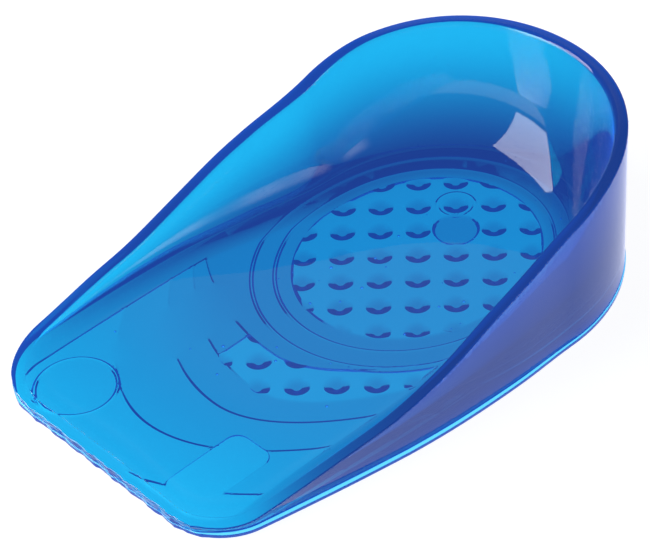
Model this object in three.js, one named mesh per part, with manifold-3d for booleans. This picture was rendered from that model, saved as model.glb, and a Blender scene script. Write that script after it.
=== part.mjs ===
// Gel heel cup: one moulded piece of clear blue gel that lies in a shoe under the heel.
// Millimetres. +Z is up, +Y runs from the toe edge to the back of the heel, and the origin is
// the middle of the cup's box, on the surface that it rests on.
import * as THREE from 'three';
import { mergeVertices } from 'three/addons/utils/BufferGeometryUtils.js';
import Module from 'manifold-3d';

// Driving dimensions of the cup
const LENGTH = 104.5; // toe edge to the back of the heel, across the base
const WIDTH = 65.4; // across the base at its widest
const HEEL_HEIGHT = 29; // rim above the ground at the back
const NEAR_CORNER = 9; // radius of the front corner on the right
const FAR_CORNER = 13; // and of the one on the left
const TOE_SKEW = 1.3; // how much further forward the toe edge's right end lies
const RIM_WIDTH = 2.3; // flat top of the wall
const RIM_EDGE = 0.35; // bevel on the rim's outer edge
const BASE_EDGE = 1.2; // rounding where the wall meets the underside
const FLOOR = 4.2; // gel under the heel
const TOE_LIFT = 1; // how far the underside has risen at the toe edge
const FOLD_MIN = 4; // width of the inner fold at the toe edge
const FOLD_GROWTH = 0.33; // how much wider the fold gets for each mm of wall
const FLARE = 0.0145; // how far the wall leans out for each mm of its height

// Relief moulded into the underside: two oval grooves round an oval field of nubs
const GROOVE_FROM_NEAR_SIDE = 7.2; // middle of the outer groove, from the cup's right side
const GROOVE_FROM_FAR_SIDE = 2.2; // from its left side
const GROOVE_FROM_BACK = 4.5; // from the back of the heel
const GROOVE_SPACING = 3.6; // from the outer groove in to the inner one
const GROOVE_WIDTH = 0.8;
const GROOVE_DEPTH = 0.45;
const OVAL_LENGTH_SHARE = 1.15; // length of an oval for each mm of its width
const FIELD_GAP = 2.7; // from the inner groove to the nubs' oval
const NUB_DIAMETER = 4.8; // at its root
const NUB_TIP = 1.2; // level end of a nub, across
const NUB_HEIGHT = 0.8; // which is also how deep the nubs' fields are let in
const NUB_PITCH = 6.4; // along the diagonals of the grid
const DISC_DIAMETER = 7.6; // plain round in the place of one nub
const FRONT_FIELD_LEFT = 6; // second field of nubs, left of the ovals' middle
const FRONT_FIELD_GAP = 1.2; // from the outer groove to the second field
const FRONT_FIELD_MARGIN = 1; // from the second field to the right side of the terraces
const FRONT_FIELD_SHIFT = 0.4; // how far ahead of two terraces' edges it starts and ends
const TERRACE_RISE = 0.25; // each step of the underside towards the toe
const PANEL_NEAR_MARGIN = 2.4; // plain margin right of the terraces, at the toe edge
const PANEL_FAR_MARGIN = 5; // left of them
const PANEL_FRONT_MARGIN = 2.6;
const PANEL_CORNER = 7;
const RING_DIAMETER = 13.6; // plain ring near the far front corner
const RING_FROM_SIDE = 9.1; // its middle, from the panel's far side
const RING_FROM_TOE = 9.9;
const BADGE_WIDTH = 9.2; // plain sunk field near the other front corner
const BADGE_LENGTH = 16.8;
const BADGE_CORNER = 2.5;
const BADGE_FROM_SIDE = 9.3; // its middle, from the panel's near side
const BADGE_FROM_TOE = 12.4;

// Outline of the base. along: share of the length from the toe edge. near and far: share of
// half the width, to the cup's right and left. The round heel starts at the last row.
const SIDES = [
  { along: 0, near: 0.77, far: 0.979 },
  { along: 0.14, near: 0.854, far: 0.985 },
  { along: 0.29, near: 0.93, far: 0.999 },
  { along: 0.43, near: 0.983, far: 0.99 },
  { along: 0.57, near: 1, far: 0.934 },
  { along: 0.7, near: 0.988, far: 0.878 },
];

// Height of the wall above the floor, as a share of its height at the back of the heel
const WALL_LINE = [
  { along: 0, height: 0 },
  { along: 0.07, height: 0 },
  { along: 0.14, height: 0.044 },
  { along: 0.24, height: 0.123 },
  { along: 0.335, height: 0.202 },
  { along: 0.43, height: 0.346 },
  { along: 0.53, height: 0.541 },
  { along: 0.625, height: 0.687 },
  { along: 0.72, height: 0.827 },
  { along: 0.82, height: 0.931 },
  { along: 1, height: 1 },
];

// Top of the floor, as a share of its height under the heel, where it is level
const FLOOR_LINE = [
  { along: 0, height: 0.72 },
  { along: 0.1, height: 0.83 },
  { along: 0.25, height: 0.94 },
  { along: 0.6, height: 1 },
];

// Edges of the terraces, each an arch towards the toe. reach: its foremost point from the
// ovals' middle, as a share of the length. The rest are shares of the width: how far to
// the right of the ovals' middle that point lies, and the arch's half span on each side.
const TERRACES = [
  { reach: 0.318, across: 0, near: 0.45, far: 0.78 },
  { reach: 0.394, across: 0.067, near: 0.44, far: 0.8 },
  { reach: 0.457, across: 0.035, near: 0.56, far: 0.76 },
  { reach: 0.557, across: -0.032, near: 0.74, far: 0.7 },
  { reach: 0.652, across: -0.018, near: 0.91, far: 3 },
];

// How finely the round stretches are cut
const HEEL_STEPS = 36;
const SIDE_STEPS = 18;
const CORNER_STEPS = 5;
const TOE_STEPS = 8;
const FOLD_STEPS = 7;
const FLOOR_STEPS = 3;
const OVAL_STEPS = 44;
const ROUND_STEPS = 20;
const ARCH_STEPS = 16;
const NUB_SIDES = 12;

const SPINE_SHARE = 0.42; // front end of the line that the sections meet on, in widths
const CUT_MARGIN = 1; // how far a cutting tool reaches past what it cuts
const SAME_CORNER = 1e-4; // corners of a new skin that are closer than this are one
const SHORTEST_EDGE = 0.02; // shorter ones, left by the cuts, are closed up
const LOWEST_TRIANGLE = 0.005; // flatter ones, left by the cuts, are joined to their neighbour

const RIM_OVERHANG = FLARE * HEEL_HEIGHT; // how far the rim leans past the base at the back
const TOE_Y = -(LENGTH + RIM_OVERHANG) / 2;
const BACK_Y = TOE_Y + LENGTH;
const CAP_START = SIDES.at(-1).along; // where the round heel starts
const CAP_Y = TOE_Y + CAP_START * LENGTH;
const SPINE_TOE_Y = TOE_Y + SPINE_SHARE * WIDTH;
const TOOL_START = -CUT_MARGIN;
const QUARTER = Math.PI / 2;

// Value of a column at a place along the cup, on a smooth line through the table's rows that
// is level at the last one
function follow(rows, column, along) {
  const last = rows.length - 1;
  let i = 0;
  while (i < last - 1 && rows[i + 1].along <= along) i += 1;
  const slopeAt = (n) => {
    if (n === last) return 0;
    const before = rows[Math.max(n - 1, 0)];
    const after = rows[n + 1];
    return (after[column] - before[column]) / (after.along - before.along);
  };
  const span = rows[i + 1].along - rows[i].along;
  const t = THREE.MathUtils.clamp((along - rows[i].along) / span, 0, 1);
  const rise = rows[i + 1][column] - rows[i][column];
  const start = slopeAt(i) * span;
  const end = slopeAt(i + 1) * span;
  const square = 3 * rise - 2 * start - end;
  const cube = start + end - 2 * rise;
  return rows[i][column] + t * (start + t * (square + t * cube));
}

const alongAt = (y) => THREE.MathUtils.clamp((y - TOE_Y) / LENGTH, 0, 1);
const nearX = (y) => (WIDTH / 2) * follow(SIDES, 'near', Math.min(alongAt(y), CAP_START));
const farX = (y) => (-WIDTH / 2) * follow(SIDES, 'far', Math.min(alongAt(y), CAP_START));
const middleX = (y) => (nearX(y) + farX(y)) / 2;
const floorHeight = (y) => FLOOR * follow(FLOOR_LINE, 'height', alongAt(y));
const wallHeight = (y) => (HEEL_HEIGHT - FLOOR) * follow(WALL_LINE, 'height', alongAt(y));

// The grooves are ovals with one middle, set by the outer one's gaps to the sides and back
const OUTER_NEAR_X = nearX(CAP_Y) - GROOVE_FROM_NEAR_SIDE;
const OUTER_FAR_X = farX(CAP_Y) + GROOVE_FROM_FAR_SIDE;
const OUTER_WIDTH = OUTER_NEAR_X - OUTER_FAR_X;
const INNER_WIDTH = OUTER_WIDTH - 2 * GROOVE_SPACING;
const FIELD_WIDTH = INNER_WIDTH - 2 * FIELD_GAP;
const RELIEF_X = (OUTER_NEAR_X + OUTER_FAR_X) / 2;
const RELIEF_Y = BACK_Y - GROOVE_FROM_BACK - (OVAL_LENGTH_SHARE * OUTER_WIDTH) / 2;

// The terraces lie on a panel whose sides run straight back from the toe edge
const PANEL_NEAR_X = nearX(TOE_Y) - PANEL_NEAR_MARGIN;
const PANEL_FAR_X = farX(TOE_Y) + PANEL_FAR_MARGIN;
const LEVEL_UNTIL_Y = RELIEF_Y - TERRACES[0].reach * LENGTH; // the underside rises from here

function baseHeight(y) {
  return TOE_LIFT * Math.max(0, (LEVEL_UNTIL_Y - y) / (LEVEL_UNTIL_Y - TOE_Y));
}

// Shares 0, 1/count, 2/count and so on, with the end left to the next stretch
const shares = (count) => Array.from({ length: count }, (_, i) => i / count);

// A front corner is its side's own line, drawn in by a quarter circle
function cornerPoint(sideX, radius, inwards, angle) {
  const y = TOE_Y + radius * (1 - Math.sin(angle));
  return new THREE.Vector2(sideX(y) + inwards * radius * (1 - Math.cos(angle)), y);
}

// The toe edge runs back a little from its right end to its left one
function skewed(point) {
  const share = (nearX(TOE_Y) - point.x) / (nearX(TOE_Y) - farX(TOE_Y));
  const fade = Math.max(0, 1 - (point.y - TOE_Y) / (SPINE_TOE_Y - TOE_Y));
  return new THREE.Vector2(point.x, point.y + TOE_SKEW * share * fade);
}

// Base outline, anticlockwise from the right end of the toe edge
function outline() {
  const capHalfWidth = (nearX(CAP_Y) - farX(CAP_Y)) / 2;
  const capLength = BACK_Y - CAP_Y;
  const toeStart = farX(TOE_Y) + FAR_CORNER;
  const toeEnd = nearX(TOE_Y) - NEAR_CORNER;
  const sidesFrom = TOE_Y + Math.max(NEAR_CORNER, FAR_CORNER);
  const sideY = shares(SIDE_STEPS).map((t) => sidesFrom + t * (CAP_Y - sidesFrom));
  return [
    ...[...shares(CORNER_STEPS), 1].map((t) => cornerPoint(nearX, NEAR_CORNER, -1, (1 - t) * QUARTER)),
    ...sideY.map((y) => new THREE.Vector2(nearX(y), y)),
    ...shares(HEEL_STEPS).map((t) => {
      const angle = t * Math.PI;
      const x = middleX(CAP_Y) + capHalfWidth * Math.cos(angle);
      return new THREE.Vector2(x, CAP_Y + capLength * Math.sin(angle));
    }),
    ...[...sideY, CAP_Y].reverse().map((y) => new THREE.Vector2(farX(y), y)),
    ...[...shares(CORNER_STEPS), 1].map((t) => cornerPoint(farX, FAR_CORNER, 1, t * QUARTER)),
    ...shares(TOE_STEPS).map((t) => new THREE.Vector2(toeStart + t * (toeEnd - toeStart), TOE_Y)),
  ].map(skewed);
}

// Section of the cup from the middle of the floor, up the wall, over the rim, down the
// outside and back under the floor to the middle
function section(edge) {
  const spineY = THREE.MathUtils.clamp(edge.y, SPINE_TOE_Y, CAP_Y);
  const middle = new THREE.Vector2(middleX(spineY), spineY);
  const reach = middle.distanceTo(edge);
  const inward = middle.clone().sub(edge).divideScalar(reach);
  const base = baseHeight(edge.y);
  const rim = floorHeight(edge.y) + wallHeight(edge.y);
  const point = (depth, z) => {
    const place = edge.clone().addScaledVector(inward, depth - FLARE * (z - base));
    return new THREE.Vector3(place.x, place.y, z);
  };
  const fold = FOLD_MIN + FOLD_GROWTH * wallHeight(edge.y);
  const foldEnd = RIM_WIDTH + fold;
  const floor = floorHeight(edge.y + inward.y * foldEnd);
  const floorPoints = shares(FLOOR_STEPS).map((t) => {
    const place = middle.clone().lerp(edge.clone().addScaledVector(inward, foldEnd), t);
    return new THREE.Vector3(place.x, place.y, floorHeight(place.y));
  });
  const foldPoints = shares(FOLD_STEPS).map((t) => {
    const angle = t * QUARTER;
    const z = floor + (rim - floor) * (1 - Math.cos(angle));
    return point(RIM_WIDTH + fold * (1 - Math.sin(angle)), z);
  });
  const rounding = Math.min(BASE_EDGE, (rim - RIM_EDGE - base) / 2);
  const half = rounding * (1 - Math.SQRT1_2);
  return [
    ...floorPoints,
    ...foldPoints,
    point(RIM_WIDTH, rim),
    point(RIM_EDGE, rim),
    point(0, rim - RIM_EDGE),
    point(0, base + rounding),
    point(half, base + half),
    point(rounding, base),
    new THREE.Vector3(middle.x, middle.y, baseHeight(middle.y)),
  ];
}

// Closed skin through the sections, which all meet on the middle line
function shellGeometry() {
  const sections = outline().map(section);
  const rows = sections[0].length;
  const geometry = new THREE.BufferGeometry().setFromPoints(sections.flat());
  const faces = [];
  for (let i = 0; i < sections.length; i += 1) {
    const a = i * rows;
    const b = ((i + 1) % sections.length) * rows;
    for (let j = 0; j < rows - 1; j += 1) {
      faces.push(a + j, a + j + 1, b + j + 1, a + j, b + j + 1, b + j);
    }
  }
  geometry.setIndex(faces);
  return geometry;
}

const wasm = await Module();
wasm.setup();

// A closed geometry as a solid: equal corners become one, and faces with no area go
function toSolid(geometry) {
  const bare = geometry.clone();
  bare.deleteAttribute('normal');
  bare.deleteAttribute('uv');
  const merged = mergeVertices(bare, SAME_CORNER);
  const index = Array.from(merged.index.array);
  const kept = [];
  for (let i = 0; i < index.length; i += 3) {
    const [a, b, c] = index.slice(i, i + 3);
    if (a !== b && b !== c && c !== a) kept.push(a, b, c);
  }
  return new wasm.Manifold(new wasm.Mesh({
    numProp: 3,
    vertProperties: Float32Array.from(merged.attributes.position.array),
    triVerts: Uint32Array.from(kept),
  }));
}

// Triangles without the ones along a short edge, whose two ends become one corner
function withoutShortEdges(triangles, corners) {
  const stand = corners.map((_, n) => n);
  triangles.forEach(([a, b, c]) => [[a, b], [b, c], [c, a]].forEach(([from, to]) => {
    const short = corners[from].distanceTo(corners[to]) < SHORTEST_EDGE;
    if (short) stand[Math.max(from, to)] = stand[Math.min(from, to)];
  }));
  const moved = triangles.map((triangle) => triangle.map((n) => stand[n]));
  return moved.filter((triangle) => new Set(triangle).size === 3);
}

// A flat triangle and the one beyond its longest side are parted along their other diagonal
function turnFlatTriangles(triangles, corners) {
  const side = (a, b) => corners[b].clone().sub(corners[a]);
  triangles.forEach((triangle) => {
    const [p, q, r] = triangle;
    const turns = [[p, q, r], [q, r, p], [r, p, q]];
    const lengths = turns.map(([from, to]) => side(from, to).length());
    const longest = lengths.indexOf(Math.max(...lengths));
    const [a, b, c] = turns[longest];
    if (side(a, b).cross(side(a, c)).length() / lengths[longest] > LOWEST_TRIANGLE) return;
    const beyond = triangles.find((other) => other !== triangle && other.includes(a) && other.includes(b));
    const d = beyond.find((n) => n !== a && n !== b);
    triangle.splice(0, 3, a, d, c);
    beyond.splice(0, 3, d, b, c);
  });
}

function toGeometry(solid) {
  const { vertProperties, triVerts } = solid.getMesh();
  const position = new THREE.BufferAttribute(vertProperties, 3);
  const corners = Array.from({ length: position.count }, (_, n) => (
    new THREE.Vector3().fromBufferAttribute(position, n)
  ));
  const all = Array.from({ length: triVerts.length / 3 }, (_, n) => [...triVerts.slice(3 * n, 3 * n + 3)]);
  const triangles = withoutShortEdges(all, corners);
  turnFlatTriangles(triangles, corners);
  const geometry = new THREE.BufferGeometry().setAttribute('position', position);
  geometry.setIndex(triangles.flat());
  return mergeVertices(geometry.toNonIndexed(), SAME_CORNER);
}

// A flat shape as a tool that reaches from below the cup up to a height
function tool(shape, top) {
  const geometry = new THREE.ExtrudeGeometry(shape, { depth: top - TOOL_START, bevelEnabled: false });
  return toSolid(geometry.translate(0, 0, TOOL_START));
}

function oval(x, y, width, length, steps) {
  const points = shares(steps).map((t) => {
    const angle = t * 2 * Math.PI;
    return new THREE.Vector2(x + (width / 2) * Math.cos(angle), y + (length / 2) * Math.sin(angle));
  });
  return new THREE.Shape(points);
}

const reliefOval = (width) => oval(RELIEF_X, RELIEF_Y, width, OVAL_LENGTH_SHARE * width, OVAL_STEPS);

// What lies between two closed lines, up to a height
function between(outer, inner, top) {
  outer.holes.push(inner);
  return tool(outer, top);
}

function ovalGroove(width) {
  return between(reliefOval(width + GROOVE_WIDTH), reliefOval(width - GROOVE_WIDTH), GROOVE_DEPTH);
}

function roundGroove(x, y, diameter, top) {
  const circle = (size) => oval(x, y, size, size, ROUND_STEPS);
  return between(circle(diameter + GROOVE_WIDTH), circle(diameter - GROOVE_WIDTH), top);
}

// Everything on the toe side of a terrace's edge
function aheadOfArch({ reach, across, near, far }, top) {
  const foremostX = RELIEF_X + across * WIDTH;
  const archY = (x) => {
    const halfSpan = (x > foremostX ? near : far) * WIDTH;
    return RELIEF_Y - reach * LENGTH * (1 - ((x - foremostX) / halfSpan) ** 2);
  };
  const right = PANEL_NEAR_X + CUT_MARGIN;
  const left = PANEL_FAR_X - CUT_MARGIN;
  const shape = new THREE.Shape();
  shape.moveTo(left, TOE_Y - CUT_MARGIN);
  shape.lineTo(right, TOE_Y - CUT_MARGIN);
  [...shares(ARCH_STEPS), 1].forEach((t) => {
    const x = THREE.MathUtils.lerp(right, left, t);
    shape.lineTo(x, Math.max(archY(x), TOE_Y));
  });
  return tool(shape, top);
}

function roundedRectangle(left, bottom, right, top, corner) {
  const shape = new THREE.Shape();
  shape.moveTo(left + corner, bottom);
  shape.lineTo(right - corner, bottom);
  shape.absarc(right - corner, bottom + corner, corner, -QUARTER, 0);
  shape.lineTo(right, top - corner);
  shape.absarc(right - corner, top - corner, corner, 0, QUARTER);
  shape.lineTo(left + corner, top);
  shape.absarc(left + corner, top - corner, corner, QUARTER, 2 * QUARTER);
  shape.lineTo(left, bottom + corner);
  shape.absarc(left + corner, bottom + corner, corner, 2 * QUARTER, 3 * QUARTER);
  return shape;
}

// The terraces step up towards the toe between the two plain margins
function terraces() {
  const front = TOE_Y + PANEL_FRONT_MARGIN;
  const panel = roundedRectangle(PANEL_FAR_X, front, PANEL_NEAR_X, RELIEF_Y, PANEL_CORNER);
  const steps = TERRACES.map((row, i) => aheadOfArch(row, TERRACE_RISE * (i + 1)));
  return wasm.Manifold.union(steps)
    .intersect(tool(panel, FLOOR))
    .subtract(tool(reliefOval(OUTER_WIDTH), FLOOR));
}

function badge() {
  const left = PANEL_NEAR_X - BADGE_FROM_SIDE - BADGE_WIDTH / 2;
  const bottom = TOE_Y + BADGE_FROM_TOE - BADGE_LENGTH / 2;
  const [right, top] = [left + BADGE_WIDTH, bottom + BADGE_LENGTH];
  return tool(roundedRectangle(left, bottom, right, top, BADGE_CORNER), TERRACE_RISE * TERRACES.length);
}

// A nub stands in its field, from its root down to its level end at that height. It is a
// cone whose point reaches past the end, so that the field's own underside cuts it level.
function nub({ x, y }, end) {
  const widening = (NUB_DIAMETER - NUB_TIP) / 2 / NUB_HEIGHT;
  const point = end - NUB_TIP / 2 / widening;
  const base = end + NUB_HEIGHT + CUT_MARGIN;
  const profile = [
    new THREE.Vector2(0, point),
    new THREE.Vector2((base - point) * widening, base),
    new THREE.Vector2(0, base),
  ];
  const geometry = new THREE.LatheGeometry(profile, NUB_SIDES).rotateX(QUARTER);
  return toSolid(geometry.translate(x, y, 0));
}

// The nubs' square grid, turned by 45 degrees round the ovals' middle. ovalWidth is the
// width of the oval that a place lies on.
function gridPlaces() {
  const step = NUB_PITCH * Math.SQRT1_2;
  const count = Math.ceil(LENGTH / step);
  const places = [];
  for (let row = -count; row <= count; row += 1) {
    for (let column = -count; column <= count; column += 1) {
      const [across, along] = [column * step, row * step];
      const ovalWidth = 2 * Math.hypot(across, along / OVAL_LENGTH_SHARE);
      const place = { row, column, x: RELIEF_X + across, y: RELIEF_Y + along, ovalWidth };
      if ((row + column) % 2 === 0) places.push(place);
    }
  }
  return places;
}

const isDisc = ({ row, column }) => row === 2 && column === 0;

// The main field is let into the underside. Its edge trims the nubs that it crosses.
function mainField() {
  const furthest = FIELD_WIDTH + NUB_DIAMETER / 2;
  const nubs = gridPlaces()
    .filter((place) => place.ovalWidth < furthest && !isDisc(place))
    .map((place) => nub(place, 0));
  const { x, y } = gridPlaces().find(isDisc);
  const disc = tool(oval(x, y, DISC_DIAMETER, DISC_DIAMETER, ROUND_STEPS), FLOOR);
  return tool(reliefOval(FIELD_WIDTH), NUB_HEIGHT).subtract(wasm.Manifold.union([...nubs, disc]));
}

// The second field lies outside the outer groove, between the first two terraces' edges
function frontField() {
  const left = RELIEF_X - FRONT_FIELD_LEFT;
  const right = PANEL_NEAR_X - FRONT_FIELD_MARGIN;
  const top = TERRACE_RISE + NUB_HEIGHT;
  const shifted = ({ reach, ...row }) => ({ ...row, reach: reach + FRONT_FIELD_SHIFT / LENGTH });
  const shape = new THREE.Shape([
    new THREE.Vector2(left, TOE_Y),
    new THREE.Vector2(right, TOE_Y),
    new THREE.Vector2(right, RELIEF_Y),
    new THREE.Vector2(left, RELIEF_Y),
  ]);
  const nubs = gridPlaces()
    .filter(({ x, y, ovalWidth }) => ovalWidth > OUTER_WIDTH && x > left - NUB_DIAMETER / 2 && y < RELIEF_Y)
    .map((place) => nub(place, TERRACE_RISE));
  return tool(shape, top)
    .intersect(aheadOfArch(shifted(TERRACES[0]), top))
    .subtract(aheadOfArch(shifted(TERRACES[1]), FLOOR))
    .subtract(tool(reliefOval(OUTER_WIDTH + 2 * FRONT_FIELD_GAP), FLOOR))
    .subtract(wasm.Manifold.union(nubs));
}

function heelCup() {
  const ringTop = TERRACE_RISE * (TERRACES.length - 1) + GROOVE_DEPTH;
  const relief = [
    ovalGroove(OUTER_WIDTH),
    ovalGroove(INNER_WIDTH),
    mainField(),
    frontField(),
    terraces(),
    roundGroove(PANEL_FAR_X + RING_FROM_SIDE, TOE_Y + RING_FROM_TOE, RING_DIAMETER, ringTop),
    badge(),
  ];
  return toSolid(shellGeometry()).subtract(wasm.Manifold.union(relief));
}

const gel = new THREE.MeshStandardMaterial({
  name: 'clear blue gel',
  color: 0x1f78d0,
  roughness: 0.08,
  metalness: 0,
  transparent: true,
  opacity: 0.75,
});

const cup = new THREE.Mesh(toGeometry(heelCup()), gel);
cup.name = 'heel_cup';

const model = new THREE.Group();
model.name = 'gel heel cup';
model.add(cup);

export default model;
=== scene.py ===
# %% [markdown]
# # A gel heel cup
#
# A gel heel cup is one piece of clear silicone gel, moulded in one shot. It lies in a shoe
# under the heel. This lesson builds its fine surface round the plain imported solid, which
# stays as the frame: the same outline, the same wall and the same relief, but smooth.
# Everything that makes the real one look real is light inside a clear body, so the shape
# has to be one closed skin, and the colour comes from how far light travels in the gel,
# with a faint painted glow of the surface added.

# %% Load the frame
import math

import bmesh
import bpy
import numpy as np
from mathutils import Matrix, Vector
from mathutils.geometry import delaunay_2d_cdt


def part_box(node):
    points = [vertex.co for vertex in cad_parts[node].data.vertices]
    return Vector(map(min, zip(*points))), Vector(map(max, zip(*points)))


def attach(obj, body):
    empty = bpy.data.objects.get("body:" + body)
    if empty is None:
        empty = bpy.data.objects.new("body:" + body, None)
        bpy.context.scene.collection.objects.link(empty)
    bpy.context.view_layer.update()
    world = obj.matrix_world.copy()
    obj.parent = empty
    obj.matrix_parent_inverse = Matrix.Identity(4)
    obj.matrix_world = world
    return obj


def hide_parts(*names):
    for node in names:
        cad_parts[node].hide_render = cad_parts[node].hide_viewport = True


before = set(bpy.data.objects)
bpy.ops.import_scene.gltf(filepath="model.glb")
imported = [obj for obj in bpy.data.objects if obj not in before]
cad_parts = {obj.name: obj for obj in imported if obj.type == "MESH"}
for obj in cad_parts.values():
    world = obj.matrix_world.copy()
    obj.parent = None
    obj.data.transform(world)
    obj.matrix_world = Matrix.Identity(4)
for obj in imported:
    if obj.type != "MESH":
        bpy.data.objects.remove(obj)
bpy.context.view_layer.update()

MM = 0.001
low, high = (np.array(corner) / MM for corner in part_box("heel_cup"))
print("the packed cup measures", np.round(high - low, 2), "mm")

# %% [markdown]
# ## Sizes
#
# All sizes are millimetres until the mesh is made. The overall size is read from the frame,
# so the fine skin follows the solid. Lines that run along the cup are short tables: a place
# along the cup, as a share of its length from the toe edge, and a value there. A smooth
# line goes through the rows, level at the last one. A spline object could do this too, but
# a formula is easier to read and to ask for a height at any place.

# %% Sizes of the cup
HEEL_HEIGHT = high[2]  # rim above the ground at the back
FLARE = 0.0145  # how far the wall leans out for each mm of its height
LENGTH = 2 * high[1] - FLARE * HEEL_HEIGHT  # of the base
TOE_Y = high[1] - FLARE * HEEL_HEIGHT - LENGTH
BACK_Y = TOE_Y + LENGTH
WIDTH = 65.4  # of the base at its widest
NEAR_CORNER = 9  # radius of the front corner on the right
FAR_CORNER = 13  # and of the one on the left
TOE_SKEW = 1.3  # how much further forward the toe edge's right end lies
RIM_WIDTH = 2.3  # flat top of the wall
RIM_EDGE, RIM_INNER_EDGE = 0.3, 0.9  # rounding of the rim's outer and inner edge
BASE_EDGE = 0.15  # rounding where the wall meets the underside
LIP_HEIGHT, LIP_FILLET, LIP_EDGE = 0.7, 0.3, 0.1  # thin lip round the foot of the wall
LIP_LINE = {  # how far the lip stands out, along the cup
    "along": (0, 0.04, 0.5, 0.85, 1),
    "width": (0.12, 0.7, 0.7, 0.2, 0.12),
}
FLOOR = 4.2  # gel under the heel
TOE_LIFT = 1  # how far the underside has risen at the toe edge
FOLD_MIN = 4  # width of the inner fold at the toe edge
FOLD_GROWTH = 0.33  # how much wider the fold gets for each mm of wall
SPINE_SHARE = 0.42  # front end of the line that the sections point to, in widths

SIDES = {  # outline of the base, in shares of half the width
    "along": (0, 0.14, 0.29, 0.43, 0.57, 0.7),
    "near": (0.77, 0.854, 0.93, 0.983, 1, 0.988),
    "far": (0.979, 0.985, 0.999, 0.99, 0.934, 0.878),
}
WALL_LINE = {  # wall above the floor, as a share of its height at the back
    "along": (0, 0.07, 0.14, 0.24, 0.335, 0.43, 0.53, 0.625, 0.72, 0.82, 1),
    "height": (0, 0, 0.044, 0.123, 0.202, 0.346, 0.541, 0.687, 0.827, 0.931, 1),
}
FLOOR_LINE = {  # top of the floor, as a share of its height under the heel
    "along": (0, 0.1, 0.25, 0.6),
    "height": (0.72, 0.83, 0.94, 1),
}


def follow(table, column, along):
    """Value of a column at places along the cup, on a smooth line through the table's rows."""
    places, values = np.array(table["along"], float), np.array(table[column], float)
    slopes = np.zeros(len(places))
    before = np.maximum(np.arange(len(places) - 1) - 1, 0)
    after = np.arange(len(places) - 1) + 1
    slopes[:-1] = (values[after] - values[before]) / (places[after] - places[before])
    row = np.clip(np.searchsorted(places, along, side="right") - 1, 0, len(places) - 2)
    span = places[row + 1] - places[row]
    t = np.clip((along - places[row]) / span, 0, 1)
    rise, start, end = values[row + 1] - values[row], slopes[row] * span, slopes[row + 1] * span
    return values[row] + t * (start + t * (3 * rise - 2 * start - end + t * (start + end - 2 * rise)))


def along_at(y):
    return np.clip((np.asarray(y, float) - TOE_Y) / LENGTH, 0, 1)


CAP_START = SIDES["along"][-1]  # the round heel starts here
CAP_Y = TOE_Y + CAP_START * LENGTH


def near_x(y):
    return WIDTH / 2 * follow(SIDES, "near", np.minimum(along_at(y), CAP_START))


def far_x(y):
    return -WIDTH / 2 * follow(SIDES, "far", np.minimum(along_at(y), CAP_START))


def floor_height(y):
    return FLOOR * follow(FLOOR_LINE, "height", along_at(y))


def wall_height(y):
    return (HEEL_HEIGHT - FLOOR) * follow(WALL_LINE, "height", along_at(y))


print("base", round(LENGTH, 2), "by", WIDTH, "mm, rim", round(float(HEEL_HEIGHT), 2), "mm up")

# %% [markdown]
# ## The outline
#
# From above, the real cup has two long sides that open slowly, a round heel and a toe edge
# with two round corners. The outline is worked out as points: sides from the table, the
# heel as half an ellipse, and each corner as its side drawn in by a quarter circle.

# %% Outline of the base
HEEL_STEPS, SIDE_STEPS, CORNER_STEPS, TOE_STEPS = 130, 70, 18, 44
SAME_POINT = 0.01  # points closer than this count as one


def shares(count):
    """0, 1/count, 2/count and so on, with the end left to the next stretch."""
    return np.arange(count) / count


def corner(side_x, radius, inwards, angles):
    y = TOE_Y + radius * (1 - np.sin(angles))
    return np.column_stack([side_x(y) + inwards * radius * (1 - np.cos(angles)), y])


def outline():
    """Points of the base outline, anticlockwise from the right end of the toe edge."""
    quarter = np.append(shares(CORNER_STEPS), 1) * math.pi / 2
    sides_from = TOE_Y + max(NEAR_CORNER, FAR_CORNER)
    side_y = sides_from + shares(SIDE_STEPS) * (CAP_Y - sides_from)
    back_y = np.append(side_y, CAP_Y)[::-1]
    turn = shares(HEEL_STEPS) * math.pi
    cap_middle, cap_half = (near_x(CAP_Y) + far_x(CAP_Y)) / 2, (near_x(CAP_Y) - far_x(CAP_Y)) / 2
    cap_y = CAP_Y + (BACK_Y - CAP_Y) * np.sin(turn)
    toe_start, toe_end = far_x(TOE_Y) + FAR_CORNER, near_x(TOE_Y) - NEAR_CORNER
    toe_x = toe_start + shares(TOE_STEPS) * (toe_end - toe_start)
    points = np.vstack([
        corner(near_x, NEAR_CORNER, -1, quarter[::-1]),
        np.column_stack([near_x(side_y), side_y]),
        np.column_stack([cap_middle + cap_half * np.cos(turn), cap_y]),
        np.column_stack([far_x(back_y), back_y]),
        corner(far_x, FAR_CORNER, 1, quarter),
        np.column_stack([toe_x, np.full(TOE_STEPS, TOE_Y)]),
    ])
    share = (near_x(TOE_Y) - points[:, 0]) / (near_x(TOE_Y) - far_x(TOE_Y))
    fade = np.clip(1 - (points[:, 1] - TOE_Y) / (SPINE_SHARE * WIDTH), 0, None)
    points[:, 1] += TOE_SKEW * share * fade
    return points[np.linalg.norm(points - np.roll(points, 1, axis=0), axis=1) > SAME_POINT]


edge = outline()
print(len(edge), "points round the base")

# %% [markdown]
# ## Relief under the floor
#
# The mould leaves its relief in the underside, and one sees it through the gel. Low relief
# is best kept as a height: for any place on the underside, one function says how far the gel
# starts above the ground. Each edge is a soft step, because a real moulded edge is rounded,
# and the rounding is what bends the light into a dark line beside a bright one.

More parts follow.
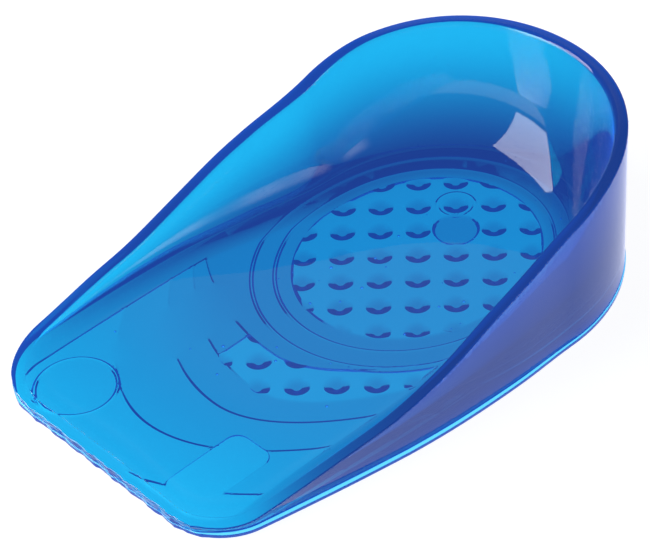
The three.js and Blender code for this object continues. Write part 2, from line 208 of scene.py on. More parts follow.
# %% Sizes of the relief
GROOVE_FROM_NEAR_SIDE, GROOVE_FROM_FAR_SIDE, GROOVE_FROM_BACK = 7.2, 2.2, 4.5
GROOVE_SPACING = 3.6  # from the outer groove in to the inner one
GROOVE_WIDTH, GROOVE_DEPTH = 0.9, 0.4
OVAL_LENGTH_SHARE = 1.15  # length of an oval for each mm of its width
FIELD_GAP = 2.7  # from the inner groove to the nubs' oval field
NUB_DIAMETER, NUB_TIP, NUB_PITCH = 4.8, 1.2, 6.4  # root, level end, and from nub to nub
NUB_HEIGHT = 0.8  # which is also how deep the nubs' fields are let in
DISC_DIAMETER = 7.6  # plain round in the place of one nub
FRONT_FIELD_LEFT, FRONT_FIELD_GAP, FRONT_FIELD_MARGIN = 6, 1.2, 1  # second field's edges
TERRACE_RISE = 0.25  # each step of the underside towards the toe
TERRACES = {  # arched edges: foremost point in lengths, the rest in widths
    "reach": (0.318, 0.394, 0.457, 0.557, 0.652),
    "across": (0, 0.067, 0.035, -0.032, -0.018),
    "near": (0.45, 0.44, 0.56, 0.74, 0.91),
    "far": (0.78, 0.8, 0.76, 0.7, 3),
}
STEP_WIDTH = 0.6  # of a moulded edge, from level to level
PANEL_NEAR_MARGIN, PANEL_FAR_MARGIN, PANEL_FRONT_MARGIN, PANEL_CORNER = 2.4, 5, 2.6, 7
RING_DIAMETER, RING_FROM_SIDE, RING_FROM_TOE = 13.6, 9.1, 9.9
BADGE_WIDTH, BADGE_LENGTH, BADGE_CORNER, BADGE_FROM_SIDE, BADGE_FROM_TOE = 9.2, 16.8, 2.5, 9.3, 12.4

OUTER_NEAR_X = near_x(CAP_Y) - GROOVE_FROM_NEAR_SIDE
OUTER_FAR_X = far_x(CAP_Y) + GROOVE_FROM_FAR_SIDE
OUTER_WIDTH = OUTER_NEAR_X - OUTER_FAR_X
INNER_WIDTH = OUTER_WIDTH - 2 * GROOVE_SPACING
FIELD_WIDTH = INNER_WIDTH - 2 * FIELD_GAP
RELIEF_X = (OUTER_NEAR_X + OUTER_FAR_X) / 2
RELIEF_Y = BACK_Y - GROOVE_FROM_BACK - OVAL_LENGTH_SHARE * OUTER_WIDTH / 2
GRID_STEP = NUB_PITCH / math.sqrt(2)
DISC = (RELIEF_X, RELIEF_Y + 2 * GRID_STEP)
PANEL_NEAR_X = near_x(TOE_Y) - PANEL_NEAR_MARGIN
PANEL_FAR_X = far_x(TOE_Y) + PANEL_FAR_MARGIN
PANEL_FRONT_Y = TOE_Y + PANEL_FRONT_MARGIN
LEVEL_UNTIL_Y = RELIEF_Y - TERRACES["reach"][0] * LENGTH
RING = (PANEL_FAR_X + RING_FROM_SIDE, TOE_Y + RING_FROM_TOE)
BADGE = (PANEL_NEAR_X - BADGE_FROM_SIDE, TOE_Y + BADGE_FROM_TOE)
print("ovals round", round(float(RELIEF_X), 2), round(float(RELIEF_Y), 2))

# %% [markdown]
# A step or groove needs to know how far a place is from its line. These functions give that
# distance, with a sign: less than nothing inside an oval or a rounded field.


# %% Distances to the lines of the relief
def from_oval(x, y, width):
    """Distance out from an oval, near enough close to its line."""
    share = np.hypot((x - RELIEF_X), (y - RELIEF_Y) / OVAL_LENGTH_SHARE) / (width / 2)
    slope = np.hypot((x - RELIEF_X), (y - RELIEF_Y) / OVAL_LENGTH_SHARE**2)
    slope = slope / np.maximum(share, SAME_POINT) / (width / 2) ** 2
    return (share - 1) / np.maximum(slope, 1 / WIDTH)


def from_field(x, y, middle, width, length, radius):
    """Distance out from a rectangle with round corners."""
    out_x = np.abs(x - middle[0]) - width / 2 + radius
    out_y = np.abs(y - middle[1]) - length / 2 + radius
    outside = np.hypot(np.maximum(out_x, 0), np.maximum(out_y, 0))
    return outside + np.minimum(np.maximum(out_x, out_y), 0) - radius


def arch_y(x, n):
    foremost = RELIEF_X + TERRACES["across"][n] * WIDTH
    half_span = np.where(x > foremost, TERRACES["near"][n], TERRACES["far"][n]) * WIDTH
    return RELIEF_Y - TERRACES["reach"][n] * LENGTH * (1 - ((x - foremost) / half_span) ** 2)


def ahead_of_arch(x, y, n):
    """Distance from a terrace's edge, towards the toe."""
    foremost = RELIEF_X + TERRACES["across"][n] * WIDTH
    half_span = np.where(x > foremost, TERRACES["near"][n], TERRACES["far"][n]) * WIDTH
    slope = 2 * TERRACES["reach"][n] * LENGTH * (x - foremost) / half_span**2
    return (arch_y(x, n) - y) / np.hypot(1, slope)


def in_front_field(x, y):
    """Distance in from the edge of the second field of nubs."""
    left, right = RELIEF_X - FRONT_FIELD_LEFT, PANEL_NEAR_X - FRONT_FIELD_MARGIN
    from_groove = from_oval(x, y, OUTER_WIDTH) - FRONT_FIELD_GAP
    sides = (x - left, right - x, from_groove, ahead_of_arch(x, y, 0), -ahead_of_arch(x, y, 1))
    return np.minimum.reduce(sides)


def step(distance, width):
    """From 0 to 1 across a line, round at both ends."""
    t = np.clip(distance / width + 0.5, 0, 1)
    return t * t * (3 - 2 * t)


def groove(distance, width):
    """1 on a line and 0 beside it."""
    t = np.clip(2 * np.abs(distance) / width, 0, 1)
    return (1 - t * t) ** 2


# %% [markdown]
# The real underside has a plain band across the terraces, where each edge fades away. Here
# the steps are simply made very wide in that band, so that they turn into a gentle slope.

# %% Height of the underside
BARE_BAND = (-16.5, -21.5)  # middle of the band without edges
BARE_WIDTH, BARE_LENGTH, BARE_CORNER = 9, 24, 3
FADE = 2.5  # how far from full edge to none
FADED_STEP = 9  # width of a step in the bare band
SMALL_RING = (RELIEF_X - GRID_STEP, RELIEF_Y + 3 * GRID_STEP)  # thin line round one nub
SMALL_RING_DIAMETER, SMALL_RING_DEPTH = 6.4, 0.15


def panel_distance(x, y):
    """Distance in from the edge of the terraced panel."""
    middle = ((PANEL_NEAR_X + PANEL_FAR_X) / 2, (PANEL_FRONT_Y + RELIEF_Y) / 2)
    width, length = PANEL_NEAR_X - PANEL_FAR_X, RELIEF_Y - PANEL_FRONT_Y
    return -from_field(x, y, middle, width, length, PANEL_CORNER)


def base_height(y):
    return TOE_LIFT * np.clip((LEVEL_UNTIL_Y - y) / (LEVEL_UNTIL_Y - TOE_Y), 0, None)


def underside(x, y):
    """How far the gel starts above the ground."""
    bare = step(-from_field(x, y, BARE_BAND, BARE_WIDTH, BARE_LENGTH, BARE_CORNER), FADE)
    width = STEP_WIDTH + bare * (FADED_STEP - STEP_WIDTH)
    terrace = sum(step(ahead_of_arch(x, y, n), width) for n in range(len(TERRACES["reach"])))
    badge = step(-from_field(x, y, BADGE, BADGE_WIDTH, BADGE_LENGTH, BADGE_CORNER), STEP_WIDTH)
    level = TERRACE_RISE * np.maximum(terrace, badge * len(TERRACES["reach"]))
    inside = step(panel_distance(x, y), STEP_WIDTH) * step(from_oval(x, y, OUTER_WIDTH), STEP_WIDTH)
    height = base_height(y) + inside * np.maximum(level - base_height(y), 0)
    disc = step(DISC_DIAMETER / 2 - np.hypot(x - DISC[0], y - DISC[1]), STEP_WIDTH)
    fields = step(-from_oval(x, y, FIELD_WIDTH), STEP_WIDTH) * (1 - disc)
    height += NUB_HEIGHT * (fields + step(in_front_field(x, y), STEP_WIDTH))
    for width in (OUTER_WIDTH, INNER_WIDTH):
        height += GROOVE_DEPTH * groove(from_oval(x, y, width), GROOVE_WIDTH)
    for middle, diameter, depth in (
        (RING, RING_DIAMETER, GROOVE_DEPTH),
        (SMALL_RING, SMALL_RING_DIAMETER, SMALL_RING_DEPTH),
    ):
        away = np.hypot(x - middle[0], y - middle[1]) - diameter / 2
        height += depth * groove(away, GROOVE_WIDTH)
    return height


toe_height = underside(np.array([0.0]), np.array([TOE_Y]))[0]
print("underside at the toe edge:", round(float(toe_height), 2), "mm")

# %% [markdown]
# ## Points where the underside bends
#
# A grid fine enough for the soft edges all over would be far too heavy. So the points follow
# the lines of the relief, in a few rows on each side of every line, and a loose grid fills
# the level stretches between them. Blender's own Delaunay routine then joins them up.

# %% Points along the relief
ALONG_LINE = 0.6  # from point to point along a line
ROWS = np.array([-0.62, -0.4, -0.25, -0.12, 0, 0.12, 0.25, 0.4, 0.62])  # across it
LATTICE = 1.7  # between the points of the loose grid
CLEAR = 0.55  # the loose grid keeps this far from the lines
OVAL_POINTS, ARCH_POINTS, FIELD_POINTS, QUARTER_POINTS = 400, 300, 80, 20
OVERLAP = 1  # how far an arched line runs on past the panel and the outer groove
BLOCK = 500  # points compared at a time


def even(points):
    """The same line with evenly spaced points."""
    steps = np.linalg.norm(np.diff(points, axis=0), axis=1)
    travelled = np.append(0, np.cumsum(steps))
    wanted = np.linspace(0, travelled[-1], int(travelled[-1] / ALONG_LINE) + 1)
    return np.column_stack([np.interp(wanted, travelled, points[:, k]) for k in range(2)])


def rows_beside(points):
    """A line's points, repeated in rows on both sides of it."""
    points = even(points)
    run = np.gradient(points, axis=0)
    run /= np.linalg.norm(run, axis=1)[:, None]
    across = np.column_stack([-run[:, 1], run[:, 0]])
    return np.vstack([points + across * row for row in ROWS])


def oval_line(middle, width, length):
    turn = np.linspace(0, 2 * math.pi, OVAL_POINTS)
    return np.column_stack([
        middle[0] + width / 2 * np.cos(turn),
        middle[1] + length / 2 * np.sin(turn),
    ])


def heel_oval(width):
    """One of the ovals round the field of nubs."""
    return oval_line((RELIEF_X, RELIEF_Y), width, OVAL_LENGTH_SHARE * width)


def field_line(middle, width, length, radius):
    """A rectangle with round corners."""
    quarter = np.linspace(0, math.pi / 2, QUARTER_POINTS)
    parts = []
    for n, (sx, sy) in enumerate(((1, 1), (-1, 1), (-1, -1), (1, -1))):
        x = middle[0] + sx * (width / 2 - radius) + radius * np.cos(quarter + n * math.pi / 2)
        y = middle[1] + sy * (length / 2 - radius) + radius * np.sin(quarter + n * math.pi / 2)
        parts.append(np.column_stack([x, y]))
    return np.vstack([*parts, parts[0][:1]])


def front_field(grow):
    """Outline of the second field, made larger all round by this much."""
    left, right = RELIEF_X - FRONT_FIELD_LEFT - grow, PANEL_NEAR_X - FRONT_FIELD_MARGIN + grow
    x = np.linspace(left, right, FIELD_POINTS)
    half = OUTER_WIDTH / 2 + FRONT_FIELD_GAP - grow
    groove_y = RELIEF_Y - OVAL_LENGTH_SHARE * np.sqrt(half**2 - (x - RELIEF_X) ** 2)
    back = np.minimum(groove_y, arch_y(x, 0) + grow)
    front = arch_y(x, 1) - grow
    return np.vstack([np.column_stack([x, front]), np.column_stack([x, back])[::-1]])


def relief_points():
    across = np.linspace(PANEL_FAR_X, PANEL_NEAR_X, ARCH_POINTS)
    panel_middle = ((PANEL_NEAR_X + PANEL_FAR_X) / 2, (PANEL_FRONT_Y + RELIEF_Y) / 2)
    panel_size = (PANEL_NEAR_X - PANEL_FAR_X, RELIEF_Y - PANEL_FRONT_Y)
    arches = [np.column_stack([across, arch_y(across, n)]) for n in range(len(TERRACES["reach"]))]
    ovals = [heel_oval(width) for width in (OUTER_WIDTH, INNER_WIDTH, FIELD_WIDTH)]
    rings = [
        oval_line(DISC, DISC_DIAMETER, DISC_DIAMETER),
        oval_line(RING, RING_DIAMETER, RING_DIAMETER),
        oval_line(SMALL_RING, SMALL_RING_DIAMETER, SMALL_RING_DIAMETER),
    ]
    second = front_field(0)
    fields = [
        np.vstack([second, second[:1]]),
        field_line(panel_middle, *panel_size, PANEL_CORNER),
        field_line(BADGE, BADGE_WIDTH, BADGE_LENGTH, BADGE_CORNER),
    ]
    arches = np.vstack([rows_beside(line) for line in arches])
    keep = (panel_distance(*arches.T) > -OVERLAP) & (from_oval(*arches.T, OUTER_WIDTH) > -OVERLAP)
    return np.vstack([arches[keep], *[rows_beside(line) for line in ovals + rings + fields]])


def lattice():
    x = np.arange(-WIDTH / 2, WIDTH / 2, LATTICE)
    y = np.arange(TOE_Y, BACK_Y, LATTICE)
    return np.array(np.meshgrid(x, y)).reshape(2, -1).T


def apart(points, others, distance):
    """The points that lie further than this from all the others."""
    keep = np.ones(len(points), bool)
    for block in np.array_split(others, max(1, len(others) // BLOCK)):
        gaps = np.linalg.norm(points[:, None] - block[None], axis=2)
        keep &= gaps.min(axis=1) > distance
    return points[keep]


relief = relief_points()
loose = apart(lattice(), relief, CLEAR)
print(len(relief), "points along the relief,", len(loose), "between")


# %% [markdown]
# ## One closed skin
#
# The wall is a ring of sections. Each section climbs the inner fold, which is a quarter of an
# ellipse, and goes over the rim and down the outside to a thin lip at its foot, which shows
# as a bright line because so little gel lies over the ground there. The floor and the
# underside are filled in between with triangles whose heights come from the formulas.

# %% Sections of the wall
FOLD_STEPS, WALL_STEPS, ROUND_STEPS, LIP_STEPS = 30, 8, 10, 5
ROUGH_TOE = 0.12  # how uneven the trimmed toe edge is
ROUGH_REACH = 5  # how far up from the toe edge that is seen
ROUGH_WAVES = ((1.3, 0.9), (2.9, 2.2), (5.3, 4.1), (8.7, 3.3))  # along the edge and up it


def sections():
    """Rows of points round the cup, from the foot of the inner fold to the underside."""
    spine_y = np.clip(edge[:, 1], TOE_Y + SPINE_SHARE * WIDTH, CAP_Y)
    middle = np.column_stack([(near_x(spine_y) + far_x(spine_y)) / 2, spine_y])
    inward = middle - edge
    inward /= np.linalg.norm(inward, axis=1)[:, None]
    base, wall = base_height(edge[:, 1]), wall_height(edge[:, 1])
    rim = floor_height(edge[:, 1]) + wall
    fold = FOLD_MIN + FOLD_GROWTH * wall
    floor = floor_height(edge[:, 1] + inward[:, 1] * (RIM_WIDTH + fold))
    inner_edge = np.minimum(RIM_INNER_EDGE, wall / 3)
    lip = follow(LIP_LINE, "width", along_at(edge[:, 1]))
    fillet, lip_edge = np.minimum(LIP_FILLET, lip / 2), np.minimum(LIP_EDGE, lip / 4)
    fold_top = rim - inner_edge
    wall_top, foot = rim - RIM_EDGE, base + LIP_HEIGHT + fillet
    profile = []  # pairs of depth in from the outline and height
    for t in np.append(shares(FOLD_STEPS), 1) * math.pi / 2:
        z = floor + (fold_top - floor) * (1 - math.cos(t))
        profile.append((RIM_WIDTH + fold * (1 - math.sin(t)), z))
    for t in (shares(ROUND_STEPS) + 1 / ROUND_STEPS) * math.pi / 2:
        z = rim - inner_edge * (1 - math.sin(t))
        profile.append((RIM_WIDTH - inner_edge * (1 - math.cos(t)), z))
    for t in np.append(shares(ROUND_STEPS), 1) * math.pi / 2:
        z = rim - RIM_EDGE * (1 - math.cos(t))
        profile.append((RIM_EDGE * (1 - math.sin(t)), z))
    for t in shares(WALL_STEPS) + 1 / WALL_STEPS:
        profile.append((lip * t, wall_top + (foot - wall_top) * t))
    for t in (shares(LIP_STEPS) + 1 / LIP_STEPS) * math.pi / 2:
        profile.append((lip - fillet * (1 - math.cos(t)), foot - fillet * math.sin(t)))
    for t in np.append(shares(LIP_STEPS), 1) * math.pi / 2:
        z = base + LIP_HEIGHT - lip_edge * (1 - math.cos(t))
        profile.append((lip_edge * (1 - math.sin(t)), z))
    for t in np.append(shares(LIP_STEPS), 1) * math.pi / 2:
        profile.append((BASE_EDGE * (1 - math.cos(t)), base + BASE_EDGE * (1 - math.sin(t))))
    rows = []
    for depth, z in profile:
        place = edge + inward * (depth - FLARE * (z - base))[:, None]
        rows.append(np.column_stack([place, z]))
    return np.array(rows)


def rough_toe(rows):
    """The toe edge is where the moulding was trimmed, so it is a little uneven."""
    near_toe = np.clip(1 - (rows[..., 1] - TOE_Y) / ROUGH_REACH, 0, 1)
    wave = sum(
        np.sin(rows[..., 0] * k + rows[..., 2] * j + k) / n
        for n, (k, j) in enumerate(ROUGH_WAVES, start=1)
    )
    outside = (np.arange(len(rows)) > FOLD_STEPS + ROUND_STEPS)[:, None]
    rows[..., 1] += ROUGH_TOE * near_toe * wave * outside
    return rows


wall = rough_toe(sections())
print(wall.shape[0], "rows of", wall.shape[1], "points")


# %% Fill a loop with triangles
def inside(points, loop):
    """Which points lie inside a closed line."""
    ahead = np.roll(loop, -1, axis=0)
    crossings = np.zeros(len(points), int)
    for (x0, y0), (x1, y1) in zip(loop, ahead):
        spans = (y0 > points[:, 1]) != (y1 > points[:, 1])
        rise = y1 - y0 if y1 != y0 else SAME_POINT
        crossings += spans & (points[:, 0] < x0 + (x1 - x0) * (points[:, 1] - y0) / rise)
    return crossings % 2 == 1


def fill(loop, points, height, upwards):
    """Corners and triangles that close a loop through extra points, each at its height."""
    points = apart(points[inside(points, loop)], loop, ALONG_LINE / 2)
    plan = [Vector(p) for p in np.vstack([loop, points])]
    made = delaunay_2d_cdt(plan, [], [list(range(len(loop)))], 1, SAME_POINT / 10)
    corners = np.array([tuple(p) for p in made[0]])
    z = height(*corners.T)
    source = [ids[0] if ids else -1 for ids in made[3]]
    faces = [list(face) if upwards else list(face)[::-1] for face in made[2]]
    return np.column_stack([corners, z]), faces, source


def skin():
    """The whole cup without its nubs, as one closed mesh in metres."""
    rows, count = wall.shape[:2]
    corners = [wall.reshape(-1, 3)]
    faces = []
    for j in range(rows - 1):
        for i in range(count):
            k = (i + 1) % count
            faces.append([j * count + i, (j + 1) * count + i, (j + 1) * count + k, j * count + k])
    loose_floor = lattice()
    for row, points, height, upwards in (
        (wall[0], loose_floor, lambda x, y: floor_height(y), True),
        (wall[-1], np.vstack([relief, loose]), underside, False),
    ):
        placed, made, source = fill(row[:, :2], points, height, upwards)
        for n, s in enumerate(source):
            if 0 <= s < count:
                placed[n] = row[s]
        start = sum(len(c) for c in corners)
        corners.append(placed)
        faces += [[start + v for v in face] for face in made]
    mesh = bpy.data.meshes.new("skin")
    mesh.from_pydata((np.vstack(corners) * MM).tolist(), [], faces)
    work = bmesh.new()
    work.from_mesh(mesh)
    bmesh.ops.remove_doubles(work, verts=work.verts, dist=SAME_POINT / 20 * MM)
    bmesh.ops.delete(work, geom=[v for v in work.verts if not v.link_faces], context="VERTS")
    bmesh.ops.triangulate(work, faces=[f for f in work.faces if len(f.verts) > 4])
    open_edges = sum(not e.is_manifold for e in work.edges)
    print(len(work.verts), "corners,", open_edges, "open edges, volume",
          round(work.calc_volume() * 1e6, 2), "cubic centimetres")
    work.to_mesh(mesh)
    work.free()
    return mesh


cup_mesh = skin()


# %% [markdown]
# ## A small helper for nodes
#
# Geometry and material node trees are built with the same calls, so one function adds a node,
# sets its options, and fills or links its inputs by name.


# %% Add a node
def add_node(tree, kind, inputs=(), **options):
    """A new node. inputs is a dict of values, or of sockets to link from."""
    node = tree.nodes.new(kind)
    for name, value in options.items():
        setattr(node, name, value)
    for name, value in dict(inputs).items():
        if isinstance(value, bpy.types.NodeSocket):
            tree.links.new(value, node.inputs[name])
        else:
            node.inputs[name].default_value = value
    return node


def new_group(name, numbers):
    """A Geometry Nodes tree with a geometry input and output, and the named inputs given."""
    tree = bpy.data.node_groups.new(name, "GeometryNodeTree")
    tree.interface.new_socket("Geometry", in_out="INPUT", socket_type="NodeSocketGeometry")
    for label, kind in numbers.items():
        tree.interface.new_socket(label, in_out="INPUT", socket_type=kind)
    tree.interface.new_socket("Geometry", in_out="OUTPUT", socket_type="NodeSocketGeometry")
    return tree


def use_group(obj, tree, values):
    """Adds the tree to an object as a modifier and sets its named inputs."""
    modifier = obj.modifiers.new(tree.name, "NODES")
    modifier.node_group = tree
    for socket in tree.interface.items_tree:
        if socket.in_out == "INPUT" and socket.name in values:
            modifier[socket.identifier] = values[socket.name]


def hidden(name, mesh):
    """An object that only lends its shape to a node tree."""
    return bpy.data.objects.new(name, mesh)


print("helpers ready")

# %% [markdown]
# ## The gel
#
# The real cup is cast from clear platinum-cured silicone gel with a little blue pigment dye.
# It has no colour of its own on the surface. White light goes in, red is taken out within a
# few millimetres and green more slowly, so thin gel looks sky blue and a long way through
# the rim looks deep blue. That is a plain Volume Absorption: the colour tells which light stays,
# the density how fast the rest goes. The dye also scatters a little blue light, which would be
# slow and noisy to follow inside the gel, so a faint painted glow of its surface stands in for it.


# %% Materials
def linear(code):
    """Linear RGBA from an sRGB hex colour."""
    parts = [int(code[i : i + 2], 16) / 255 for i in (1, 3, 5)]
    return [c / 12.92 if c <= 0.04045 else ((c + 0.055) / 1.055) ** 2.4 for c in parts] + [1]


GEL_DYE = "#00ECF0"  # light that the dye lets through
GEL_DENSITY = 2300  # for each metre
GEL_IOR, GEL_ROUGHNESS = 1.42, 0.03  # of silicone gel from a polished mould
GEL_PAINTED_GLOW_COLOUR, GEL_PAINTED_GLOW = "#3870F8", 0.28  # painted glow of the surface, standing in for the little light that the dye scatters
SKIN_WAVES = 5 * MM  # from wave to wave of the moulded skin's faint unevenness
SKIN_DEPTH = 0.012 * MM


def gel_material():
    """Clear silicone gel with blue dye, cast in a polished mould, with a faint painted glow of its
    surface.
    """
    material = bpy.data.materials.new("blue silicone gel")
    material.use_nodes = True
    tree = material.node_tree
    tree.nodes.clear()
    place = add_node(tree, "ShaderNodeTexCoord").outputs["Object"]
    waves = add_node(tree, "ShaderNodeTexNoise", {"Vector": place, "Scale": 1 / SKIN_WAVES, "Detail": 1})
    bump = add_node(tree, "ShaderNodeBump", {"Height": waves.outputs["Fac"], "Distance": SKIN_DEPTH})
    surface = add_node(tree, "ShaderNodeBsdfPrincipled", {
        "Base Color": (1, 1, 1, 1),
        "Roughness": GEL_ROUGHNESS,
        "IOR": GEL_IOR,
        "Transmission Weight": 1,
        # painted glow of the surface, standing in for the light that the dye scatters
        "Emission Color": linear(GEL_PAINTED_GLOW_COLOUR),
        "Emission Strength": GEL_PAINTED_GLOW,
        "Normal": bump.outputs["Normal"],
    })
    dye = add_node(tree, "ShaderNodeVolumeAbsorption", {"Color": linear(GEL_DYE), "Density": GEL_DENSITY})
    add_node(tree, "ShaderNodeOutputMaterial", {"Surface": surface.outputs[0], "Volume": dye.outputs[0]})
    return material


gel = gel_material()
print("gel lets through", [round(c, 2) for c in linear(GEL_DYE)[:3]])

# %% [markdown]
# ## Nubs
#
# Low round nubs on a square grid, turned by 45 degrees, stand in two fields that are let into
# the underside. One nub is turned on a lathe as a solid. Geometry Nodes sets it on every
# point of the grid but one, where the mould has a plain disc, and keeps what lies in the
# field. Then it joins the nubs to the skin, so light meets no second surface at their roots.


# %% Solids for the nubs
NUB_SIDES, NUB_STEPS = 48, 16
NUB_SOFT = 0.2  # share of a nub's side that is rounded at each end
NUB_ROOT = 0.8  # how far a nub reaches into the gel
FIELD_BOTTOM = -1  # the fields' prisms start this far under the ground


def turned(name, profile, sides):
    """A closed solid turned from (radius, height) pairs; the first and last lie on the axis."""
    turn = shares(sides) * 2 * math.pi
    rings = [[(r * math.cos(a), r * math.sin(a), z) for a in turn] for r, z in profile[1:-1]]
    corners = [(0, 0, profile[0][1]), (0, 0, profile[-1][1]), *(c for ring in rings for c in ring)]
    last = 2 + (len(rings) - 1) * sides
    faces = []
    for i in range(sides):
        k = (i + 1) % sides
        faces += [(0, 2 + k, 2 + i), (1, last + i, last + k)]
        for a in range(2, last, sides):
            faces.append((a + i, a + k, a + sides + k, a + sides + i))
    mesh = bpy.data.meshes.new(name)
    mesh.from_pydata((np.array(corners) * MM).tolist(), [], faces)
    return mesh


def prism(name, loop, bottom, top):
    """A closed upright solid over an anticlockwise loop."""
    count = len(loop)
    corners = [(x, y, z) for z in (bottom, top) for x, y in loop]
    faces = [list(range(count))[::-1], list(range(count, 2 * count))]
    faces += [(i, (i + 1) % count, count + (i + 1) % count, count + i) for i in range(count)]
    mesh = bpy.data.meshes.new(name)
    mesh.from_pydata((np.array(corners) * MM).tolist(), [], faces)
    return mesh


def nub_profile():
    """Level end, sloping side with soft ends, and a root inside the gel."""
    t = np.linspace(0, 1, NUB_STEPS + 1)
    soft = np.clip(np.minimum(t, 1 - t) / NUB_SOFT, 0, 1)
    slope = soft * (2 - soft)
    rise = np.append(0, np.cumsum((slope[1:] + slope[:-1]) / 2))
    radius = (NUB_TIP + t * (NUB_DIAMETER - NUB_TIP)) / 2
    height = NUB_HEIGHT * rise / rise[-1]
    root = [(radius[-1] + SAME_POINT, NUB_HEIGHT + NUB_ROOT), (0, NUB_HEIGHT + NUB_ROOT)]
    return [(0, 0), *zip(radius, height), *root]


oval_field = heel_oval(FIELD_WIDTH + STEP_WIDTH)
nub = hidden("nub", turned("nub", nub_profile(), NUB_SIDES))
fields = [
    hidden("main field", prism("main field", oval_field[:-1], FIELD_BOTTOM, FLOOR)),
    hidden("front field", prism("front field", front_field(STEP_WIDTH / 2), FIELD_BOTTOM, FLOOR)),
]
print("nub", len(nub.data.polygons), "faces,", len(fields), "fields")


# %% Node tree for the nubs
def nubs_tree():
    tree = new_group("Stand nubs in a field", {
        "Nub": "NodeSocketObject",
        "Field": "NodeSocketObject",
        "Middle": "NodeSocketVector",
        "Plain disc": "NodeSocketVector",
        "Pitch": "NodeSocketFloat",
        "Columns": "NodeSocketInt",
        "Material": "NodeSocketMaterial",
    })
    given = add_node(tree, "NodeGroupInput").outputs
    gaps = add_node(tree, "ShaderNodeMath", {0: given["Columns"], 1: 1.0}, operation="SUBTRACT")
    side = add_node(tree, "ShaderNodeMath", {0: gaps.outputs[0], 1: given["Pitch"]}, operation="MULTIPLY")
    grid = add_node(tree, "GeometryNodeMeshGrid", {
        "Size X": side.outputs[0],
        "Size Y": side.outputs[0],
        "Vertices X": given["Columns"],
        "Vertices Y": given["Columns"],
    })
    turned_grid = add_node(tree, "GeometryNodeTransform", {
        "Geometry": grid.outputs["Mesh"],
        "Translation": given["Middle"],
        "Rotation": (0, 0, math.pi / 4),
    })
    place = add_node(tree, "GeometryNodeInputPosition")
    gap = add_node(tree, "ShaderNodeVectorMath", {
        0: place.outputs[0],
        1: given["Plain disc"],
    }, operation="DISTANCE")
    near = add_node(tree, "ShaderNodeMath", {0: gap.outputs["Value"], 1: MM}, operation="LESS_THAN")
    places = add_node(tree, "GeometryNodeDeleteGeometry", {
        "Geometry": turned_grid.outputs[0],
        "Selection": near.outputs[0],
    })
    one = add_node(tree, "GeometryNodeObjectInfo", {"Object": given["Nub"]})
    field = add_node(tree, "GeometryNodeObjectInfo", {"Object": given["Field"]})
    spread = add_node(tree, "GeometryNodeInstanceOnPoints", {
        "Points": places.outputs[0],
        "Instance": one.outputs["Geometry"],
    })
    nubs = add_node(tree, "GeometryNodeRealizeInstances", {"Geometry": spread.outputs[0]})
    kept = add_node(tree, "GeometryNodeMeshBoolean", operation="INTERSECT", solver="MANIFOLD")
    joined = add_node(tree, "GeometryNodeMeshBoolean", operation="UNION", solver="MANIFOLD")
    for boolean, parts in (
        (kept, (nubs.outputs[0], field.outputs["Geometry"])),
        (joined, (given["Geometry"], kept.outputs["Mesh"])),
    ):
        for part in parts:
            tree.links.new(part, boolean.inputs["Mesh 2"])
    plain = add_node(tree, "GeometryNodeRealizeInstances", {"Geometry": joined.outputs["Mesh"]})
    painted = add_node(tree, "GeometryNodeSetMaterial", {
        "Geometry": plain.outputs[0],
        "Material": given["Material"],
    })
    add_node(tree, "NodeGroupOutput", {"Geometry": painted.outputs[0]})
    return tree


COLUMNS = 17  # wide enough for both fields
cup = bpy.data.objects.new("gel_heel_cup", cup_mesh)
bpy.context.scene.collection.objects.link(cup)
nubs = nubs_tree()
for field, foot in zip(fields, (0, TERRACE_RISE)):
    use_group(cup, nubs, {
        "Nub": nub,
        "Field": field,
        "Middle": [RELIEF_X * MM, RELIEF_Y * MM, foot * MM],
        "Plain disc": [DISC[0] * MM, DISC[1] * MM, foot * MM],
        "Pitch": NUB_PITCH * MM,
        "Columns": COLUMNS,
        "Material": gel,
    })
print("nubs on a grid of", COLUMNS, "by", COLUMNS)

# %% [markdown]
# ## Bubbles and flash
#
# Two small things say that the gel was poured and trimmed. A few tiny air bubbles stay in the
# floor, and the trimmed seam leaves beads along the outer edge of the rim. Both are scattered
# by Geometry Nodes with a fixed seed. Bubbles are taken out of the skin and beads joined to
# it, so the cup stays one closed body.

# %% Node tree for bubbles and beads
BUBBLES = 34
BUBBLE_SIZES = (0.12 * MM, 0.3 * MM)  # radius
BUBBLE_HEIGHTS = (0.9 * MM, 3.3 * MM)
BEAD_SIZES = (0.05 * MM, 0.13 * MM)
BEAD_SPACING = 0.8 * MM
BUBBLE_ROUNDS, BEAD_ROUNDS = 3, 2  # how finely the small balls are divided
SEED = 7


def scatter(tree, geometry, sizes, seed, rounds):
    """Small balls of random size on points."""
    size = add_node(tree, "FunctionNodeRandomValue", {"Min": sizes[0], "Max": sizes[1], "Seed": seed})
    ball = add_node(tree, "GeometryNodeMeshIcoSphere", {"Radius": 1.0, "Subdivisions": rounds})
    balls = add_node(tree, "GeometryNodeInstanceOnPoints", {
        "Points": geometry,
        "Instance": ball.outputs["Mesh"],
        "Scale": size.outputs[1],
    })
    return add_node(tree, "GeometryNodeRealizeInstances", {"Geometry": balls.outputs[0]}).outputs[0]


